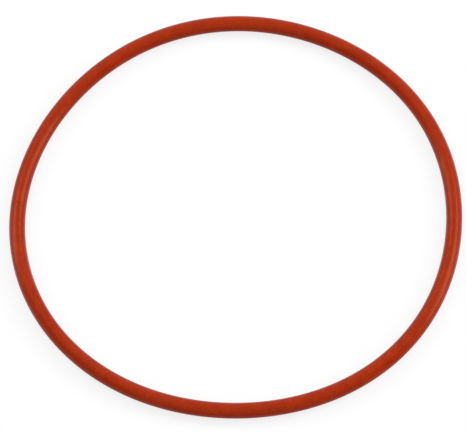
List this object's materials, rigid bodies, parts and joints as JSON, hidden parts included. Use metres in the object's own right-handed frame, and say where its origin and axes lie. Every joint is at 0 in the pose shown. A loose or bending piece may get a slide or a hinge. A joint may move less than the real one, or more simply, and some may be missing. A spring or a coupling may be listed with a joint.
{
  "type": "o-ring",
  "caption": "Rust-red silicone o-ring of round section with a fine parting line, a stretch seal for a lid neck, a bore or a flange.",
  "frame": {"origin": "centre of the ring, half way up its round section", "axes": "+Z along the ring's axis, +X and +Y across the ring in its middle plane"},
  "size_m": [0.102, 0.102, 0.0036],
  "materials": {
    "silicone": "satin"
  },
  "bodies": {
    "root": {"o_ring": "silicone"}
  },
  "joints": []
}
